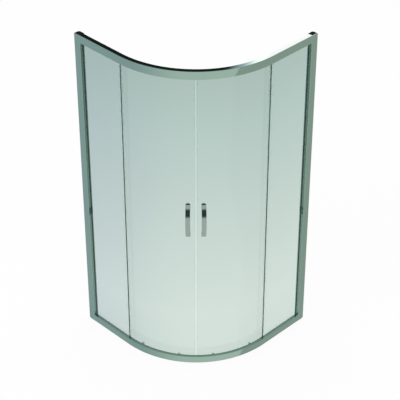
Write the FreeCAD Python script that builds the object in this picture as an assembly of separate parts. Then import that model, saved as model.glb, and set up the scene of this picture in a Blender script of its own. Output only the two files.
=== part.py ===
"""Quadrant shower enclosure, 900 x 900 nominal, two curved sliding doors.

Millimetres, +Z up.  The origin lies on the shower tray, under the middle of the
enclosure's square footprint.  The walls of the room are the planes x = -HALF and
y = +HALF, and the outer faces of the two side panels are x = +HALF and y = -HALF.

One side is described and the other is its mirror image.  Two local frames help:
  panel frame (a, d, z)  a = distance from the wall along the side panel,
                         d = depth behind the outer face of the frame
  bend frame  (t, d, z)  t = distance along the bend, turned to its angle on the arc
"""
import FreeCAD, Part
import math
import os

Vector = FreeCAD.Vector

# ---------------------------------------------------------------- overall sizes
WIDTH = 888.0             # wall to outer face, both ways, as installed
HEIGHT = 1900.0
BEND_RADIUS = 550.0       # outer face of the curved rails

# ---------------------------------------------------------------- rail extrusion
RAIL_DEPTH = 27.0
TOP_RAIL_HEIGHT = 46.0
BOTTOM_RAIL_HEIGHT = 43.0
RAIL_SKIN = 1.8
RAIL_EDGE_BEVEL = 0.8
GROOVE_FRONT = 14.6       # depth of the front box, in front of the glass groove
GROOVE_DEPTH = 12.0
REAR_LIP = 3.0            # height of the low wall behind the groove
TRACK_LIP = 2.0           # upstand that keeps the wheels on the running ledge
STIFFENER = 2.4           # small return on the free edge of the closed side

# ---------------------------------------------------------------- post and wall profile
POST_DEPTH = 32.0
POST_WIDTH = 36.0
POST_SKIN = 1.6
POST_EDGE_BEVEL = 0.8
WALL_REVEAL = 10.0        # strip of wall profile left in view beside the post
POCKET_LENGTH = 18.0      # room inside the post for the wall profile
WALL_LEG_LENGTH = 25.0
WALL_SKIN = 1.6
WALL_GAP = 0.4            # wall profile to post pocket
WALL_HEIGHT_DROP = 4.0    # the wall profile ends under the post's cap
WALL_HOLE_RADIUS = 2.75
WALL_HOLE_PITCH = 800.0
WALL_HOLE_COUNT = 3

# ---------------------------------------------------------------- fixed glass
GLASS_SETBACK = 17.0
GLASS_THICKNESS = 6.0
GLASS_BITE = 10.0         # how far the glass enters a groove
FIXED_END = 8.0           # free edge, short of the start of the bend
REAR_GASKET = 2.2
GASKET_NOSE = 1.0
SETTING_BLOCK_LENGTH = 60.0

# ---------------------------------------------------------------- doors
DOOR_SETBACK = 40.0       # outer face of the door glass
DOOR_THICKNESS = 6.0
DOOR_TAIL = 30.0          # straight end that overlaps the fixed glass
DOOR_TOP_DROP = 27.0      # door glass below the top of the frame
DOOR_FLOOR_GAP = 5.0
CLOSING_GAP = 0.3         # each magnetic seal to the middle plane
CLOSING_SEAL = 8.7
CLOSING_GRIP = 4.0        # overlap of the seal on the glass
SEAL_WALL = 1.2
TAIL_SEAL_GRIP = 8.0
TAIL_FIN_GAP = 0.6        # fin of the tail seal to the fixed glass
EDGE_SEAL_GRIP = 5.0
EDGE_SEAL_CAP = 2.0
EDGE_FIN_REACH = 7.5
EDGE_FIN_GAP = 2.0        # fin to the roller arms that pass above it

# ---------------------------------------------------------------- rollers
REAR_ANGLE = 8.0          # degrees round the bend from its start
FRONT_ANGLE = 34.0
WHEEL_DEPTH = 14.0        # middle of every wheel behind the outer face
WHEEL_WIDTH = 5.0
WHEEL_SIDES = 24
WHEEL_GAP = 0.3           # wheel to its running face
TOP_WHEEL_RADIUS = 12.0
BOTTOM_WHEEL_RADIUS = 9.0
AXLE_RADIUS = 2.5
AXLE_CLEARANCE = 0.05
AXLE_HEAD_ACROSS = 8.0    # across the flats of the axle's hexagon head
AXLE_HEAD = 1.3
AXLE_SIDE_PLAY = 0.25
SPACER_WIDTH = 8.0        # square spacer between a wheel and what carries it
ARM_THICKNESS = 3.5
ARM_DROP = 24.0           # axle down to the clamping stud
ARM_TOP_WIDTH = 14.0
ARM_FOOT_WIDTH = 22.0
ARM_CORNER = 4.0
PAD_THICKNESS = 1.0       # soft washer between metal and glass
STUD_RADIUS = 4.0
STUD_HOLE_RADIUS = 5.5
CAP_RADIUS = 11.0
CAP_HEIGHT = 8.0
CAP_BEVEL = 3.0
TURNED_SIDES = 12         # flats on turned pieces; only running bores and wall holes are round
CURVE_GAP = 0.15          # flat pieces on the hollow side of the curved glass
RELEASE_THROW = 3.0       # eccentricity of the bottom spindles
SPINDLE_RADIUS = 4.0
BUSH_RADIUS = 6.4
BUSH_HOLE_CLEARANCE = 0.1
BUSH_FLANGE_RADIUS = 9.0
BUSH_FLANGE = 1.5
CRANK_WIDTH = 15.0        # plate that joins a spindle to its eccentric axle
CRANK_THICKNESS = 2.6
SQUARE_DRIVE = 5.0        # squared end of the spindle, in the knob
KNOB_RADIUS = 9.0
KNOB_THICKNESS = 3.0
KNOB_GRIP_HEIGHT = 6.0
KNOB_GRIP_WIDTH = 4.0
RUNNING_GAP = 0.3

# ---------------------------------------------------------------- handles
HANDLE_LENGTH = 212.0
HANDLE_WIDTH = 25.0
HANDLE_BAR = 5.0
HANDLE_STANDOFF = 34.0    # glass to the outer face at mid-length
HANDLE_END_STANDOFF = 13.0
HANDLE_FROM_JOINT = 41.0  # middle of the handle to the closing line
HANDLE_HEIGHT = 973.0
HANDLE_STUD_PITCH = 190.0
HANDLE_FOOT_WIDTH = 20.0
HANDLE_FOOT_HEIGHT = 18.0
HANDLE_STUD_RADIUS = 2.5
HANDLE_HOLE_RADIUS = 4.0
HANDLE_EDGE_BEVEL = 1.2
HANDLE_WASHER = 1.0
HANDLE_WASHER_RADIUS = 7.0
HANDLE_NUT_RADIUS = 7.5
HANDLE_NUT_HEIGHT = 6.0
HANDLE_NUT_BEVEL = 2.0

# ---------------------------------------------------------------- small parts
CAP_PLATE = 3.0
CAP_GAP = 0.2
CAP_LEG = 12.0
CAP_CORNER = 2.0
STUD_FIT = 0.05
STOP_LENGTH = 14.0
STOP_WIDTH = 16.0
STOP_HEIGHT = 16.0
STOP_FROM_BEND = 181.0    # middle of the door stop to the start of the bend
STOP_BEVEL = 2.0

SMALL = 0.01              # tolerance when an edge is picked out by its place

# ---------------------------------------------------------------- worked out from these
HALF = WIDTH / 2
STRAIGHT = WIDTH - BEND_RADIUS                 # wall to the start of the bend
BEND_CENTRE = Vector(HALF - BEND_RADIUS, HALF - STRAIGHT, 0)
FIXED_EDGE = STRAIGHT - FIXED_END              # wall to the free edge of the fixed glass
POST_START = WALL_REVEAL
POST_END = WALL_REVEAL + POST_WIDTH            # inner flank, where the rails butt
POST_WEB = POST_START + POCKET_LENGTH
GLASS_BACK = GLASS_SETBACK + GLASS_THICKNESS
GROOVE_REAR = GLASS_BACK + REAR_GASKET
DOOR_BACK = DOOR_SETBACK + DOOR_THICKNESS
DOOR_MIDDLE_RADIUS = BEND_RADIUS - DOOR_SETBACK - DOOR_THICKNESS / 2
TOP_LEDGE = HEIGHT - TOP_RAIL_HEIGHT + GROOVE_DEPTH + RAIL_SKIN
BOTTOM_LEDGE = BOTTOM_RAIL_HEIGHT - GROOVE_DEPTH - RAIL_SKIN
TOP_WHEEL_Z = TOP_LEDGE + WHEEL_GAP + TOP_WHEEL_RADIUS
BOTTOM_WHEEL_Z = BOTTOM_LEDGE - WHEEL_GAP - BOTTOM_WHEEL_RADIUS
SPINDLE_Z = BOTTOM_WHEEL_Z - RELEASE_THROW
TOP_STUD_Z = TOP_WHEEL_Z - ARM_DROP
TOP_OPENING = HEIGHT - TOP_RAIL_HEIGHT
BOTTOM_OPENING = BOTTOM_RAIL_HEIGHT
ARM_BACK = DOOR_SETBACK - PAD_THICKNESS
ARM_FRONT = ARM_BACK - ARM_THICKNESS
KNOB_SEAT = DOOR_BACK + CURVE_GAP + BUSH_FLANGE + RUNNING_GAP
HANDLE_ANGLE = 45.0 - math.degrees(HANDLE_FROM_JOINT / DOOR_MIDDLE_RADIUS)


# ================================================================ helpers
def at_panel(a, d, z):
    """A point of the right-hand side panel."""
    return Vector(HALF - d, HALF - a, z)


def at_bend(t, d, z):
    """A point beside the start of the bend, before it is turned to its angle."""
    return Vector(HALF - d, HALF - STRAIGHT - t, z)


def turn_to(shape, degrees):
    """Turn a shape made in the bend frame round the bend."""
    turned = shape.copy()
    turned.rotate(BEND_CENTRE, Vector(0, 0, 1), -degrees)
    return turned


def mirrored(shape):
    """The same shape on the other side panel."""
    return shape.mirror(Vector(0, 0, 0), Vector(1, 1, 0))


def polygon_face(points):
    return Part.Face(Part.makePolygon(points + [points[0]]))


def column(outline, z0, z1, place=at_panel):
    """An upright extrusion of an outline of (a, d) or (t, d) points."""
    face = polygon_face([place(p, d, z0) for p, d in outline])
    return face.extrude(Vector(0, 0, z1 - z0))


def slab(a0, a1, d0, d1, z0, z1, place=at_panel):
    outline = [(a0, d0), (a1, d0), (a1, d1), (a0, d1)]
    return column(outline, z0, z1, place)


def depth_rod(t, z, d0, d1, radius, place=at_bend):
    """A round rod that points into the enclosure, from depth d0 to d1."""
    return Part.makeCylinder(radius, d1 - d0, place(t, d0, z), Vector(-1, 0, 0))


def panel_rod(a0, a1, d, z, radius):
    """A round rod that points along the side panel, away from the wall."""
    return Part.makeCylinder(radius, a1 - a0, at_panel(a0, d, z), Vector(0, -1, 0))


def depth_polygon(t, z, d, radius, sides, place=at_bend):
    """A regular polygon that faces into the enclosure; radius is to its corners."""
    corners = [2 * math.pi * (i + 0.5) / sides for i in range(sides)]
    return polygon_face([place(t + radius * math.cos(c), d, z + radius * math.sin(c))
                         for c in corners])


def depth_prism(t, z, d0, d1, radius, sides, place=at_bend):
    """A rod like depth_rod's with flat sides."""
    return depth_polygon(t, z, d0, radius, sides, place).extrude(Vector(d0 - d1, 0, 0))


def bevelled_prism(z, d0, d1, radius, bevel):
    """A many-sided cap whose far end is drawn in by the bevel."""
    body = depth_prism(0, z, d0, d1 - bevel, radius, TURNED_SIDES)
    rims = [depth_polygon(0, z, d, r, TURNED_SIDES).OuterWire
            for d, r in ((d1 - bevel, radius), (d1, radius - bevel))]
    return body.fuse(Part.makeLoft(rims, True, True))


def edges_where(shape, test):
    return [edge for edge in shape.Edges if test(edge)]


def is_upright(edge):
    box = edge.BoundBox
    return box.XLength < SMALL and box.YLength < SMALL


def bend_sector(d0, d1, start, end, z0, z1):
    """A curved slab of the bend between two depths and two angles."""
    face = polygon_face([at_bend(0, d0, z0), at_bend(0, d1, z0),
                         at_bend(0, d1, z1), at_bend(0, d0, z1)])
    sector = face.revolve(BEND_CENTRE, Vector(0, 0, 1), start - end)
    return turn_to(sector, start)


# ================================================================ rails
def rail_outline(rail_height):
    """Outer outline of the rail extrusion as (depth, distance from the closed side)."""
    ledge = rail_height - GROOVE_DEPTH - RAIL_SKIN
    web = rail_height - GROOVE_DEPTH
    inner = RAIL_DEPTH - RAIL_SKIN
    return [(0, 0), (RAIL_DEPTH, 0), (RAIL_DEPTH, RAIL_SKIN + STIFFENER),
            (inner, RAIL_SKIN + STIFFENER), (inner, RAIL_SKIN), (RAIL_SKIN, RAIL_SKIN),
            (RAIL_SKIN, ledge), (inner, ledge), (inner, ledge - TRACK_LIP),
            (RAIL_DEPTH, ledge - TRACK_LIP), (RAIL_DEPTH, web + REAR_LIP),
            (GROOVE_REAR, web + REAR_LIP), (GROOVE_REAR, web), (GROOVE_FRONT, web),
            (GROOVE_FRONT, rail_height), (0, rail_height)]


def rail_cell(rail_height):
    """The hollow of the front box."""
    web = rail_height - GROOVE_DEPTH
    front, back = RAIL_SKIN, GROOVE_FRONT - RAIL_SKIN
    top = rail_height - RAIL_SKIN
    return [(front, web), (back, web), (back, top), (front, top)]


def bevelled(points, corners, bevel):
    """The outline with each of the listed corners cut off at 45 degrees."""
    cut = []
    count = len(points)
    for i, point in enumerate(points):
        if point not in corners:
            cut.append(point)
            continue
        for other in (points[i - 1], points[(i + 1) % count]):
            length = math.dist(point, other)
            cut.append(tuple(p + (q - p) * bevel / length for p, q in zip(point, other)))
    return cut


def rail_section(rail_height, y, up, base):
    """Section of a rail standing in the plane of constant y."""
    outer = bevelled(rail_outline(rail_height), [(0, 0), (0, rail_height)], RAIL_EDGE_BEVEL)
    face, cell = [polygon_face([Vector(HALF - d, y, base + up * s) for d, s in outline])
                  for outline in (outer, rail_cell(rail_height))]
    return face.cut(cell).Faces[0]


def rail(rail_height, up, base):
    """One bent length of extrusion: straight, quarter bend, straight."""
    section = rail_section(rail_height, BEND_CENTRE.y, up, base)
    straight = section.extrude(Vector(0, STRAIGHT - POST_END, 0))
    bend = section.revolve(BEND_CENTRE, Vector(0, 0, 1), -90)
    return straight.fuse([bend, mirrored(straight)]).removeSplitter()


def top_rail():
    return rail(TOP_RAIL_HEIGHT, -1, HEIGHT)


def bottom_rail():
    return rail(BOTTOM_RAIL_HEIGHT, 1, 0)


# ================================================================ posts
def post_outline():
    """Plan outline of the post: pocket for the wall profile, groove for the glass."""
    back = POST_DEPTH
    skin = POST_SKIN
    groove_floor = POST_END - GROOVE_DEPTH
    return [(POST_START, 0), (POST_END, 0), (POST_END, GROOVE_FRONT),
            (groove_floor, GROOVE_FRONT), (groove_floor, GROOVE_REAR),
            (POST_END, GROOVE_REAR), (POST_END, back), (POST_START, back),
            (POST_START, back - skin), (POST_WEB, back - skin), (POST_WEB, skin),
            (POST_START, skin)]


def post_cells():
    """Hollows of the post: in front of the groove, and behind it."""
    a0 = POST_WEB + POST_SKIN
    a1 = POST_END - POST_SKIN
    floor = POST_END - GROOVE_DEPTH - POST_SKIN
    front = [(a0, POST_SKIN), (a1, POST_SKIN), (a1, GROOVE_FRONT - POST_SKIN),
             (a0, GROOVE_FRONT - POST_SKIN)]
    rear = [(a0, GROOVE_REAR + POST_SKIN), (a1, GROOVE_REAR + POST_SKIN),
            (a1, POST_DEPTH - POST_SKIN), (a0, POST_DEPTH - POST_SKIN)]
    middle = [(a0, GROOVE_FRONT), (floor, GROOVE_FRONT), (floor, GROOVE_REAR), (a0, GROOVE_REAR)]
    return [front, rear, middle]


def frame_post():
    corners = [(POST_START, 0), (POST_END, 0), (POST_END, POST_DEPTH), (POST_START, POST_DEPTH)]
    post = column(bevelled(post_outline(), corners, POST_EDGE_BEVEL), 0, HEIGHT)
    for cell in post_cells():
        post = post.cut(column(cell, 0, HEIGHT))
    recess = slab(POST_START, POST_END - POST_SKIN, POST_SKIN, POST_DEPTH - POST_SKIN,
                  HEIGHT - CAP_PLATE - CAP_GAP, HEIGHT)
    return post.cut(recess)


def post_cap():
    """Inset cover plate with two legs that spring into the post's hollows."""
    top = HEIGHT - CAP_GAP
    plate = slab(POST_START, POST_END - POST_SKIN - CAP_GAP, POST_SKIN + CAP_GAP,
                 POST_DEPTH - POST_SKIN - CAP_GAP, top - CAP_PLATE, top)
    plate = plate.makeChamfer(CAP_CORNER, edges_where(plate, is_upright))
    legs = []
    for cell in (post_cells()[0], post_cells()[1]):
        a0 = min(a for a, d in cell) + CAP_GAP
        a1 = max(a for a, d in cell) - CAP_GAP
        d0 = min(d for a, d in cell) + CAP_GAP
        d1 = max(d for a, d in cell) - CAP_GAP
        legs.append(slab(a0, a1, d0, d1, top - CAP_PLATE - CAP_LEG, top - CAP_PLATE))
    return plate.fuse(legs)


def wall_profile():
    """Channel screwed to the wall; the post slides over its legs to take up play."""
    d0 = POST_SKIN + WALL_GAP
    d1 = POST_DEPTH - POST_SKIN - WALL_GAP
    top = HEIGHT - WALL_HEIGHT_DROP
    outline = [(0, d0), (WALL_LEG_LENGTH, d0), (WALL_LEG_LENGTH, d0 + WALL_SKIN),
               (WALL_SKIN, d0 + WALL_SKIN), (WALL_SKIN, d1 - WALL_SKIN),
               (WALL_LEG_LENGTH, d1 - WALL_SKIN), (WALL_LEG_LENGTH, d1), (0, d1)]
    profile = column(outline, 0, top)
    middle = POST_DEPTH / 2
    for i in range(WALL_HOLE_COUNT):
        z = HEIGHT / 2 + WALL_HOLE_PITCH * (i - (WALL_HOLE_COUNT - 1) / 2)
        profile = profile.cut(panel_rod(0, WALL_SKIN, middle, z, WALL_HOLE_RADIUS))
    return profile


# ================================================================ fixed glass
def fixed_glass():
    z0 = BOTTOM_OPENING - GLASS_BITE
    z1 = TOP_OPENING + GLASS_BITE
    return slab(POST_END - GLASS_BITE, FIXED_EDGE, GLASS_SETBACK, GLASS_BACK, z0, z1)


def gasket_strips(d0, d1, depth):
    """Gaskets at one depth, in the post and in both rails, that fill a groove that deep."""
    post = slab(POST_END - GLASS_BITE, POST_END + GASKET_NOSE, d0, d1,
                BOTTOM_OPENING + GASKET_NOSE, TOP_OPENING - GASKET_NOSE)
    floor = BOTTOM_OPENING - GROOVE_DEPTH
    ceiling = TOP_OPENING + GROOVE_DEPTH
    reach = depth + GASKET_NOSE
    bottom = slab(POST_END, FIXED_EDGE, d0, d1, floor, floor + reach)
    top = slab(POST_END, FIXED_EDGE, d0, d1, ceiling - reach, ceiling)
    return [post, bottom, top]


def glazing_gasket():
    """Strips in front of and behind the fixed glass, and blocks under its bottom edge."""
    strips = gasket_strips(GROOVE_FRONT, GLASS_SETBACK, GROOVE_DEPTH)
    strips += gasket_strips(GLASS_BACK, GROOVE_REAR, REAR_LIP)
    for a in (POST_END + SETTING_BLOCK_LENGTH, FIXED_EDGE - SETTING_BLOCK_LENGTH):
        strips.append(slab(a - SETTING_BLOCK_LENGTH / 2, a + SETTING_BLOCK_LENGTH / 2,
                           GLASS_SETBACK, GLASS_BACK, BOTTOM_OPENING - GROOVE_DEPTH,
                           BOTTOM_OPENING - GLASS_BITE))
    return Part.makeCompound(strips)


def fixed_edge_seal():
    """Channel on the free edge of the fixed glass, with a fin towards the door."""
    front = GLASS_SETBACK - SEAL_WALL
    back = GLASS_BACK + SEAL_WALL
    tip = FIXED_EDGE + EDGE_SEAL_CAP
    grip = FIXED_EDGE - EDGE_SEAL_GRIP
    z0, z1 = BOTTOM_OPENING + GASKET_NOSE, TOP_OPENING - GASKET_NOSE
    channel = column([(grip, front), (tip, front), (tip, back), (grip, back), (grip, GLASS_BACK),
                      (FIXED_EDGE, GLASS_BACK), (FIXED_EDGE, GLASS_SETBACK),
                      (grip, GLASS_SETBACK)], z0, z1)
    fin_end = GLASS_BACK + EDGE_FIN_REACH
    fin_top = TOP_STUD_Z - ARM_FOOT_WIDTH / 2 - EDGE_FIN_GAP
    fin = column([(tip, back), (tip + EDGE_SEAL_CAP, fin_end),
                  (tip + EDGE_SEAL_CAP - SEAL_WALL, fin_end), (tip - SEAL_WALL, back)], z0, fin_top)
    return channel.fuse(fin)


# ================================================================ doors
def door_glass_angle():
    """Angle of the glass edge at the closing line."""
    edge = CLOSING_GAP + CLOSING_SEAL - CLOSING_GRIP
    return 45.0 - math.degrees(edge / DOOR_MIDDLE_RADIUS)


def door_pane():
    """Curved pane with a straight tail, before its holes are drilled."""
    z0 = DOOR_FLOOR_GAP
    z1 = HEIGHT - DOOR_TOP_DROP
    curve = bend_sector(DOOR_SETBACK, DOOR_BACK, 0, door_glass_angle(), z0, z1)
    tail = slab(-DOOR_TAIL, 0, DOOR_SETBACK, DOOR_BACK, z0, z1, at_bend)
    return curve.fuse(tail).removeSplitter()


def through_door(z, radius, angle):
    """A cutter through the door glass at one angle of the bend."""
    front, back = DOOR_SETBACK - PAD_THICKNESS, DOOR_BACK + PAD_THICKNESS
    return turn_to(depth_prism(0, z, front, back, radius, TURNED_SIDES), angle)


def handle_stud_heights():
    return HANDLE_HEIGHT - HANDLE_STUD_PITCH / 2, HANDLE_HEIGHT + HANDLE_STUD_PITCH / 2


def door_glass():
    pane = door_pane()
    for angle in (REAR_ANGLE, FRONT_ANGLE):
        pane = pane.cut(through_door(TOP_STUD_Z, STUD_HOLE_RADIUS, angle))
        pane = pane.cut(through_door(SPINDLE_Z, BUSH_RADIUS + BUSH_HOLE_CLEARANCE, angle))
    for z in handle_stud_heights():
        pane = pane.cut(through_door(z, HANDLE_HOLE_RADIUS, HANDLE_ANGLE))
    return pane


def door_seal_heights():
    return DOOR_FLOOR_GAP, HEIGHT - DOOR_TOP_DROP


def closing_seal():
    """Magnetic strip: a rounded nose with the magnet, and a channel on the glass."""
    z0, z1 = door_seal_heights()
    front = DOOR_SETBACK - SEAL_WALL
    back = DOOR_BACK + SEAL_WALL
    start = -CLOSING_GAP - CLOSING_SEAL
    strip = slab(start, -CLOSING_GAP, front, back, z0, z1, at_bend)
    nose = edges_where(strip, lambda e: is_upright(e)
                       and abs(e.CenterOfMass.y - at_bend(-CLOSING_GAP, 0, 0).y) < SMALL)
    strip = turn_to(strip.makeChamfer(SEAL_WALL, nose), 45.0)
    return strip.cut(door_pane())


def tail_seal():
    """Channel on the tail of the door glass, with a fin out to the fixed glass."""
    z0, z1 = door_seal_heights()
    front = DOOR_SETBACK - SEAL_WALL
    back = DOOR_BACK + SEAL_WALL
    end = -DOOR_TAIL
    tip = GLASS_BACK + TAIL_FIN_GAP
    outline = [(end + TAIL_SEAL_GRIP, front), (end + TAIL_SEAL_GRIP, DOOR_SETBACK),
               (end, DOOR_SETBACK), (end, DOOR_BACK), (end + TAIL_SEAL_GRIP, DOOR_BACK),
               (end + TAIL_SEAL_GRIP, back), (end - SEAL_WALL, back), (end - SEAL_WALL, front)]
    channel = column(outline, z0, z1, at_bend)
    fin = column([(end - SEAL_WALL, front), (end - SEAL_WALL * 2, tip), (end - SEAL_WALL, tip),
                  (end, front)], BOTTOM_OPENING + GASKET_NOSE, TOP_OPENING - GASKET_NOSE, at_bend)
    return channel.fuse(fin)


# ================================================================ handles
def handle_arc(half_length, end_standoff, mid_standoff):
    """Upright arc in the plane t = 0, bowed away from the door glass."""
    return Part.Arc(at_bend(0, DOOR_SETBACK - end_standoff, HANDLE_HEIGHT - half_length),
                    at_bend(0, DOOR_SETBACK - mid_standoff, HANDLE_HEIGHT),
                    at_bend(0, DOOR_SETBACK - end_standoff, HANDLE_HEIGHT + half_length)).toShape()


def handle():
    """Flat bar bowed over its length, with a foot and a stud near each end."""
    half = HANDLE_LENGTH / 2
    outer = handle_arc(half, HANDLE_END_STANDOFF, HANDLE_STANDOFF)
    inner = handle_arc(half, HANDLE_END_STANDOFF - HANDLE_BAR, HANDLE_STANDOFF - HANDLE_BAR)
    bar = handle_band(outer, inner)
    front = edges_where(bar, lambda e: e.BoundBox.ZLength > half
                        and e.BoundBox.XMax > HALF - DOOR_SETBACK + HANDLE_STANDOFF - SMALL)
    bar = bar.makeChamfer(HANDLE_EDGE_BEVEL, front)
    middle = handle_arc(half, HANDLE_END_STANDOFF - HANDLE_BAR / 2, HANDLE_STANDOFF - HANDLE_BAR / 2)
    glass = Part.LineSegment(at_bend(0, DOOR_SETBACK, HANDLE_HEIGHT - half),
                             at_bend(0, DOOR_SETBACK, HANDLE_HEIGHT + half)).toShape()
    behind = handle_band(middle, glass)
    seat = DOOR_SETBACK - HANDLE_WASHER
    for z in handle_stud_heights():
        foot = slab(-HANDLE_FOOT_WIDTH / 2, HANDLE_FOOT_WIDTH / 2, DOOR_SETBACK - HANDLE_STANDOFF,
                    seat, z - HANDLE_FOOT_HEIGHT / 2, z + HANDLE_FOOT_HEIGHT / 2, at_bend)
        stud = depth_prism(0, z, seat, DOOR_BACK + CURVE_GAP, HANDLE_STUD_RADIUS, TURNED_SIDES)
        bar = bar.fuse([foot.common(behind), stud])
    return turn_to(bar, HANDLE_ANGLE)


def handle_band(front, back):
    """Solid as wide as the handle, between two upright curves in the plane t = 0."""
    ends = [Part.LineSegment(front.Vertexes[i].Point, back.Vertexes[i].Point).toShape()
            for i in (0, 1)]
    face = Part.Face(Part.Wire(Part.__sortEdges__([front, back] + ends)))
    face.translate(Vector(0, -HANDLE_WIDTH / 2, 0))
    return face.extrude(Vector(0, HANDLE_WIDTH, 0))


def handle_nuts():
    """Bevelled nuts on the handle's studs, inside the door."""
    seat = DOOR_BACK + CURVE_GAP
    return [turn_to(bevelled_prism(z, seat, seat + HANDLE_NUT_HEIGHT, HANDLE_NUT_RADIUS,
                                   HANDLE_NUT_BEVEL), HANDLE_ANGLE)
            for z in handle_stud_heights()]


def washer(z, d0, thickness, radius, stud):
    """Flat ring on a stud of the given radius."""
    ring = depth_prism(0, z, d0, d0 + thickness, radius, TURNED_SIDES)
    return ring.cut(depth_prism(0, z, d0, d0 + thickness, stud + STUD_FIT, TURNED_SIDES))


def handle_washers():
    """Soft washers between the handle's feet and the glass."""
    return [turn_to(washer(z, DOOR_SETBACK - HANDLE_WASHER, HANDLE_WASHER, HANDLE_WASHER_RADIUS,
                           HANDLE_STUD_RADIUS), HANDLE_ANGLE) for z in handle_stud_heights()]


# ================================================================ rollers
def hexagon(z, d0, d1, across):
    return depth_prism(0, z, d0, d1, across / math.sqrt(3), 6)


def wheel(radius, z):
    """Plain nylon wheel with a running bore, at the start of the bend."""
    d0 = WHEEL_DEPTH - WHEEL_WIDTH / 2
    d1 = WHEEL_DEPTH + WHEEL_WIDTH / 2
    return depth_prism(0, z, d0, d1, radius, WHEEL_SIDES).cut(
        depth_rod(0, z, d0, d1, AXLE_RADIUS + AXLE_CLEARANCE))


def axle(z, end_depth):
    """Hexagon-headed axle through a wheel, and the square spacer that carries it."""
    half = WHEEL_WIDTH / 2 + AXLE_SIDE_PLAY
    front, back = WHEEL_DEPTH - half, WHEEL_DEPTH + half
    head = hexagon(z, front - AXLE_HEAD, front, AXLE_HEAD_ACROSS)
    pin = depth_prism(0, z, front, back, AXLE_RADIUS, TURNED_SIDES)
    spacer = slab(-SPACER_WIDTH / 2, SPACER_WIDTH / 2, back, end_depth,
                  z - SPACER_WIDTH / 2, z + SPACER_WIDTH / 2, at_bend)
    return head.fuse([pin, spacer])


def carrier_arm():
    """Tapered plate that carries the axle, with a stud through the door glass."""
    top = TOP_WHEEL_Z + ARM_TOP_WIDTH / 2
    foot = TOP_STUD_Z - ARM_FOOT_WIDTH / 2
    t1, t2 = ARM_TOP_WIDTH / 2, ARM_FOOT_WIDTH / 2
    shoulder = TOP_STUD_Z + ARM_FOOT_WIDTH / 2
    corners = [(-t1, top), (t1, top), (t1, TOP_WHEEL_Z), (t2, shoulder), (t2, foot), (-t2, foot),
               (-t2, shoulder), (-t1, TOP_WHEEL_Z)]
    outline = bevelled(corners, [corners[i] for i in (0, 1, 4, 5)], ARM_CORNER)
    plate = polygon_face([at_bend(t, ARM_FRONT, z) for t, z in outline])
    plate = plate.extrude(Vector(-ARM_THICKNESS, 0, 0))
    stud = depth_prism(0, TOP_STUD_Z, ARM_BACK, DOOR_BACK + CURVE_GAP, STUD_RADIUS, TURNED_SIDES)
    return plate.fuse([stud, axle(TOP_WHEEL_Z, ARM_FRONT)])


def carrier_pad():
    """Soft washer between a roller arm and the glass."""
    return washer(TOP_STUD_Z, ARM_BACK, PAD_THICKNESS, CAP_RADIUS, STUD_RADIUS)


def carrier_cap():
    """Bevelled cap nut on the inside of the door."""
    seat = DOOR_BACK + CURVE_GAP
    return bevelled_prism(TOP_STUD_Z, seat, seat + CAP_HEIGHT, CAP_RADIUS, CAP_BEVEL)


def bottom_spindle():
    """Spindle through the glass, with a crank plate that holds the wheel's axle off centre."""
    crank_back = DOOR_SETBACK - BUSH_FLANGE - RUNNING_GAP
    crank_front = crank_back - CRANK_THICKNESS
    half = CRANK_WIDTH / 2
    corners = [(-half, SPINDLE_Z - half), (half, SPINDLE_Z - half),
               (half, BOTTOM_WHEEL_Z + half), (-half, BOTTOM_WHEEL_Z + half)]
    crank = polygon_face([at_bend(t, crank_front, z)
                          for t, z in bevelled(corners, corners, ARM_CORNER)])
    crank = crank.extrude(Vector(-CRANK_THICKNESS, 0, 0))
    spindle = depth_prism(0, SPINDLE_Z, crank_back, KNOB_SEAT, SPINDLE_RADIUS, TURNED_SIDES)
    half = SQUARE_DRIVE / 2
    drive = slab(-half, half, KNOB_SEAT, KNOB_SEAT + KNOB_THICKNESS, SPINDLE_Z - half,
                 SPINDLE_Z + half, at_bend)
    return axle(BOTTOM_WHEEL_Z, crank_front).fuse([crank, spindle, drive])


def bottom_bush():
    """Flanged bush that lines the hole in the glass for a bottom spindle."""
    front = DOOR_SETBACK - BUSH_FLANGE
    back = DOOR_BACK + CURVE_GAP + BUSH_FLANGE
    barrel = depth_prism(0, SPINDLE_Z, front, back, BUSH_RADIUS, TURNED_SIDES)
    flanges = [depth_prism(0, SPINDLE_Z, d0, d0 + BUSH_FLANGE, BUSH_FLANGE_RADIUS, TURNED_SIDES)
               for d0 in (front, back - BUSH_FLANGE)]
    bore = depth_rod(0, SPINDLE_Z, front, back, SPINDLE_RADIUS + AXLE_CLEARANCE)
    return barrel.fuse(flanges).removeSplitter().cut(bore)


def release_knob():
    """Many-sided disc with a raised finger grip; half a turn drops the bottom wheel."""
    top = KNOB_SEAT + KNOB_THICKNESS
    disc = depth_prism(0, SPINDLE_Z, KNOB_SEAT, top, KNOB_RADIUS, TURNED_SIDES)
    half = SQUARE_DRIVE / 2
    socket = slab(-half, half, KNOB_SEAT, top, SPINDLE_Z - half, SPINDLE_Z + half, at_bend)
    reach = KNOB_RADIUS - KNOB_GRIP_WIDTH / 2
    grip = slab(-KNOB_GRIP_WIDTH / 2, KNOB_GRIP_WIDTH / 2, top, top + KNOB_GRIP_HEIGHT,
                SPINDLE_Z - reach, SPINDLE_Z + reach, at_bend)
    return disc.cut(socket).fuse(grip)


def door_stop():
    """Rubber block in the top rail that the rear wheel meets when the door is open."""
    a0 = STRAIGHT - STOP_FROM_BEND - STOP_LENGTH / 2
    d0 = WHEEL_DEPTH - STOP_WIDTH / 2
    block = slab(a0, a0 + STOP_LENGTH, d0, d0 + STOP_WIDTH, TOP_LEDGE, TOP_LEDGE + STOP_HEIGHT)
    return block.makeChamfer(STOP_BEVEL, edges_where(block, is_upright))


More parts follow.
